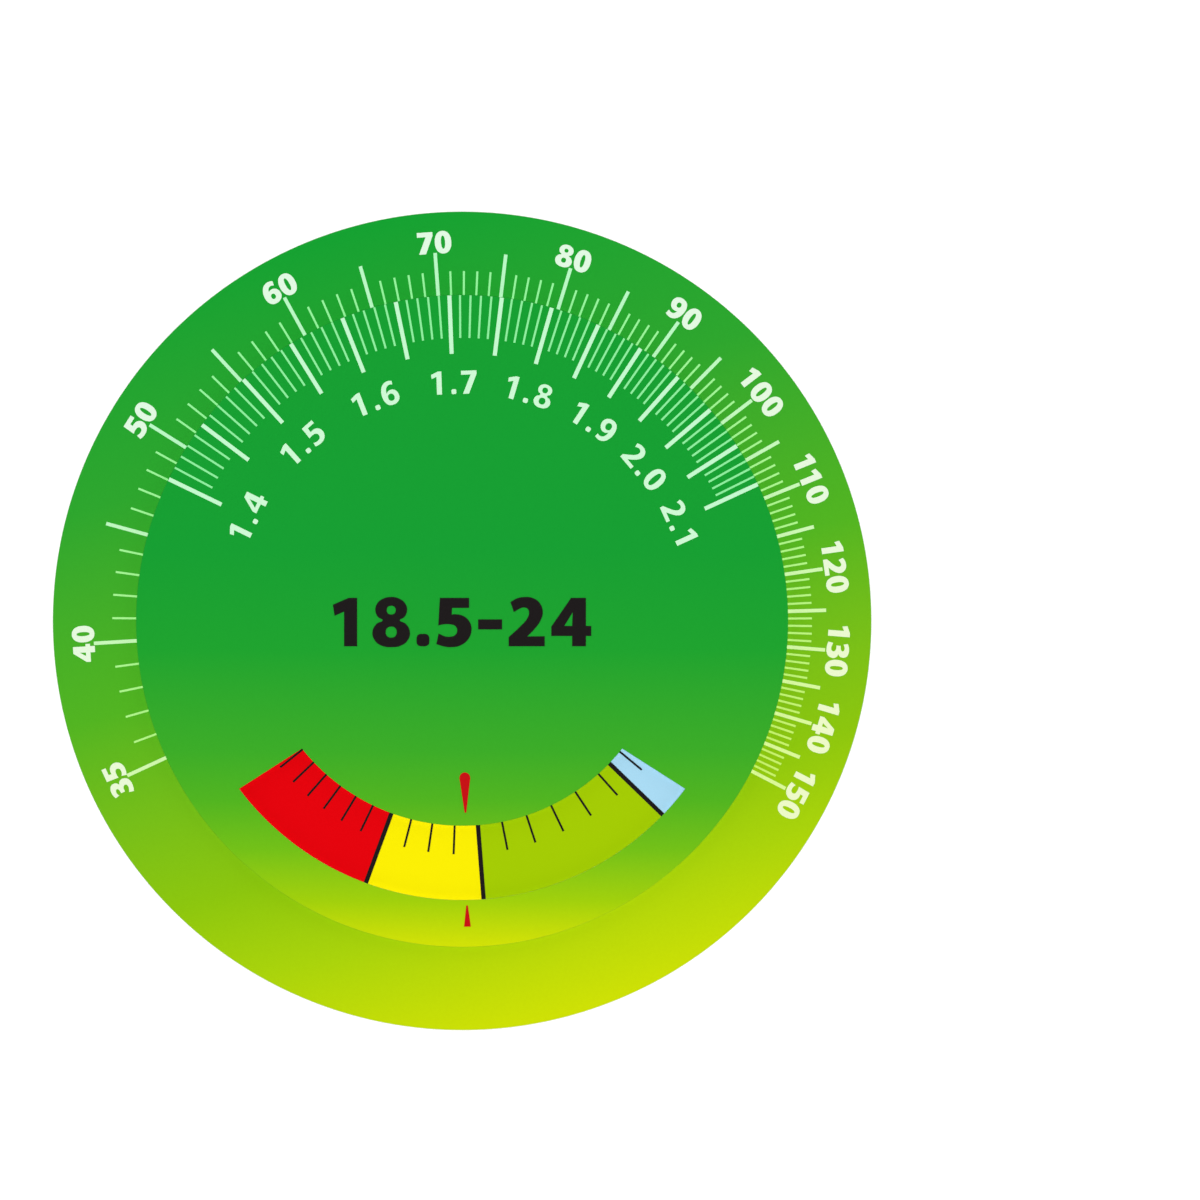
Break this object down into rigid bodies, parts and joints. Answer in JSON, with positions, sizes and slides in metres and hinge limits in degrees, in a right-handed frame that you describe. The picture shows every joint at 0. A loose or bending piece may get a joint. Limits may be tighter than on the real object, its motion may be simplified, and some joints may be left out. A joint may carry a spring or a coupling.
{
  "type": "circular slide chart",
  "caption": "Flat round slide chart: a dial with a window turns on a printed base, so a height set against a weight shows the body mass index in coloured zones.",
  "frame": {"origin": "on the pivot axis, in the plane of the back face that the wheel rests on", "axes": "+Z out of the printed face along the pivot axis, +Y towards 12 o'clock of the dial at rest, +X to the right of someone who reads the face"},
  "size_m": [0.12, 0.12, 0.0024],
  "materials": {
    "back_print": "satin laminated PVC sheet, printed with a green to lime blend",
    "base_print": "satin laminated PVC sheet, printed with a green to lime blend",
    "dial_print": "satin laminated PVC sheet, printed with a green to lime blend",
    "white_core": "white rigid PVC, die-cut edge",
    "white_ink": "white screen ink, thin enough in the lines for the print beneath to tint it",
    "black_ink": "opaque screen ink",
    "blue_ink": "opaque screen ink",
    "lime_ink": "opaque screen ink",
    "yellow_ink": "opaque screen ink",
    "red_ink": "opaque screen ink",
    "pointer_ink": "opaque screen ink",
    "clear_film": "clear polyester film",
    "pivot_plastic": "moulded natural nylon"
  },
  "bodies": {
    "base": {"base_back_sheet": "back_print", "base_rear_ply": "white_core", "base_front_ply": "white_core", "base_face_sheet": "base_print", "weight_ticks_minor": "white_ink", "weight_ticks_major": "white_ink", "zone_underweight": "blue_ink", "zone_normal": "lime_ink", "zone_overweight": "yellow_ink", "zone_obese": "red_ink", "bmi_ticks": "black_ink", "bmi_boundaries": "black_ink", "slip_washer": "clear_film"},
    "dial": {"dial_rear_ply": "white_core", "dial_core_ply": "white_core", "dial_face_sheet": "dial_print", "height_ticks_minor": "white_ink", "height_ticks_major": "white_ink", "pointer_upper": "pointer_ink", "pointer_lower": "pointer_ink", "pivot_stud": "pivot_plastic", "pivot_cap": "pivot_plastic"}
  },
  "joints": [
    {"name": "dial_turn", "type": "hinge", "parent": "base", "child": "dial", "pos_m": [0, 0, 0], "axis": [0, 0, 1], "continuous": true}
  ]
}
